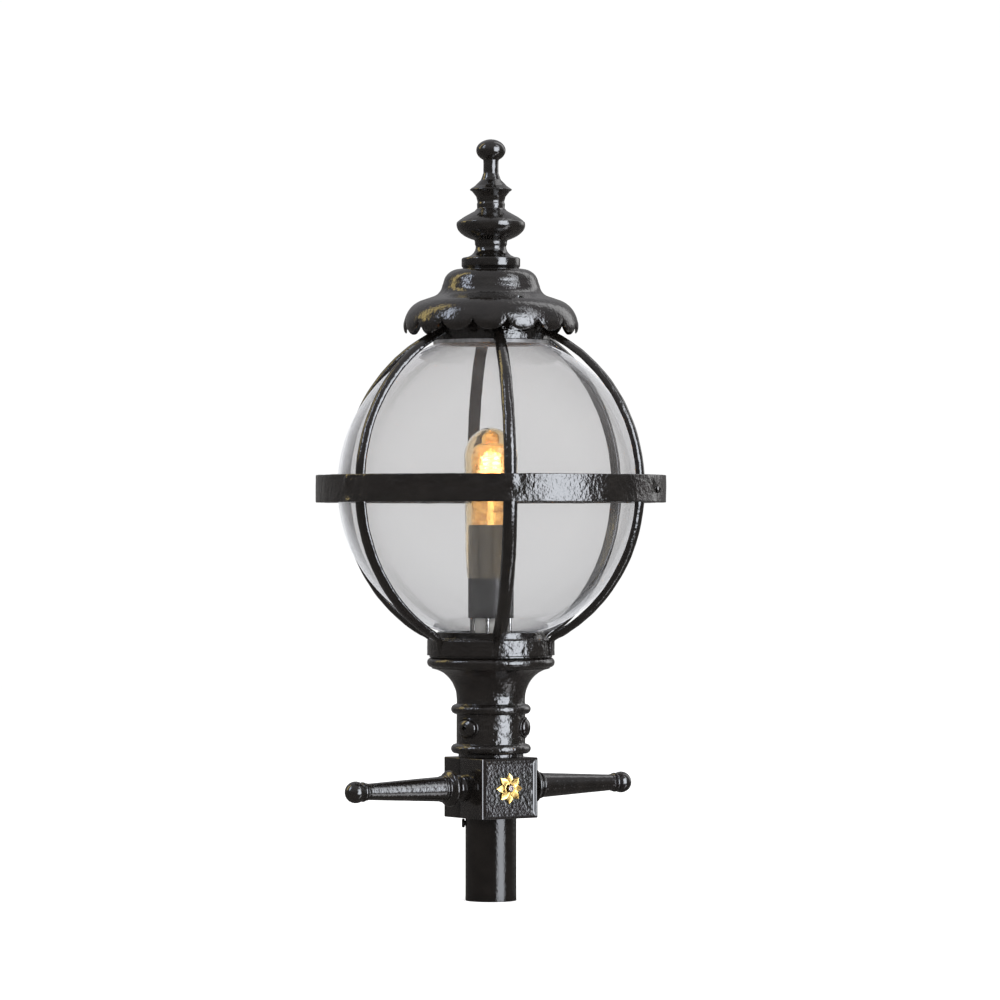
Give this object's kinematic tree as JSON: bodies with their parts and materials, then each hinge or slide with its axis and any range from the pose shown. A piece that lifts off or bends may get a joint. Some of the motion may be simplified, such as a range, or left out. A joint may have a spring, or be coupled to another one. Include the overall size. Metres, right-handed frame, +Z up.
{
  "type": "street lantern",
  "caption": "Victorian globe street lantern: caged glass globe with domed scalloped canopy and finial, hinged open at the band, on a round post with a ladder rest",
  "frame": {"origin": "centre of the open bottom end of the post tube, on its axis", "axes": "+Z up along the post and lantern; ladder arms along +X and -X; the gilt rosette faces -Y; the lantern itself is turned 2.2 degrees about +Z on the post"},
  "size_m": [0.5234, 0.5234, 1.1345],
  "materials": {
    "black_paint": "thick gloss black paint over casting",
    "dark_steel": "dull screw heads",
    "bright_steel": "bright zinc plate",
    "gilt": "gold leaf paint",
    "smoke_glass": "clear with a slight smoke tint",
    "clear_glass": "clear",
    "amber_glass": "warm, lit",
    "lamp_ceramic": "glowing",
    "seal_rubber": "matte",
    "plain_alloy": "sheet, lightly brushed",
    "sleeve_grey": "dull grey",
    "ceramic_white": "glazed ceramic",
    "cap_brass": "nickel-plated",
    "grey_plastic": "moulded",
    "white_plastic": "moulded"
  },
  "bodies": {
    "lantern_base": {"post_tube": "black_paint", "post_screw": "black_paint", "block_front": "black_paint", "block_rear": "black_paint", "block_bolts": "bright_steel", "rosette": "gilt", "rosette_screw": "bright_steel", "arm_left": "black_paint", "arm_right": "black_paint", "lantern_collar": "black_paint", "collar_screws": "black_paint", "drum_ring": "black_paint", "drum_screws": "bright_steel", "lower_ribs": "black_paint", "lower_ring": "black_paint", "band": "black_paint", "hinge_bracket": "black_paint", "hinge_pin": "bright_steel", "lower_globe": "smoke_glass", "lower_globe_seal": "seal_rubber", "lower_ring_seal": "seal_rubber", "lamp_plate": "plain_alloy", "plate_screws": "bright_steel", "cable_gland": "grey_plastic", "terminal_block": "white_plastic", "lamp_studs": "bright_steel", "lamp_holder": "ceramic_white", "lamp_sleeve": "sleeve_grey", "lamp_chimney": "clear_glass"},
    "lantern_top": {"upper_ring": "black_paint", "upper_ribs": "black_paint", "top_ring": "black_paint", "upper_globe": "smoke_glass", "upper_globe_seal": "seal_rubber", "upper_ring_seal": "seal_rubber", "canopy": "black_paint", "canopy_frill": "black_paint", "canopy_pillars": "black_paint", "canopy_screws": "dark_steel", "finial": "black_paint", "finial_stud": "bright_steel", "finial_nut": "bright_steel", "hinge_lug": "black_paint"},
    "lock": {"lock_screw": "dark_steel"},
    "lamp": {"lamp_cap": "cap_brass", "lamp_bulb": "amber_glass", "lamp_core": "lamp_ceramic"}
  },
  "joints": [
    {"name": "top_hinge", "type": "hinge", "parent": "lantern_base", "child": "lantern_top", "pos_m": [0.12592, 0.23884, 0.633], "axis": [-0.8846, 0.4664, 0], "range_deg": [0, 100]},
    {"name": "lock_screw_turn", "type": "hinge", "parent": "lantern_base", "child": "lock", "pos_m": [0.14798, -0.21134, 0.6127], "axis": [0.5736, -0.8192, 0], "range_deg": [0, 1080]},
    {"name": "lamp_turn", "type": "hinge", "parent": "lantern_base", "child": "lamp", "pos_m": [0, 0, 0.42], "axis": [0, 0, 1], "range_deg": [0, 1080]}
  ]
}
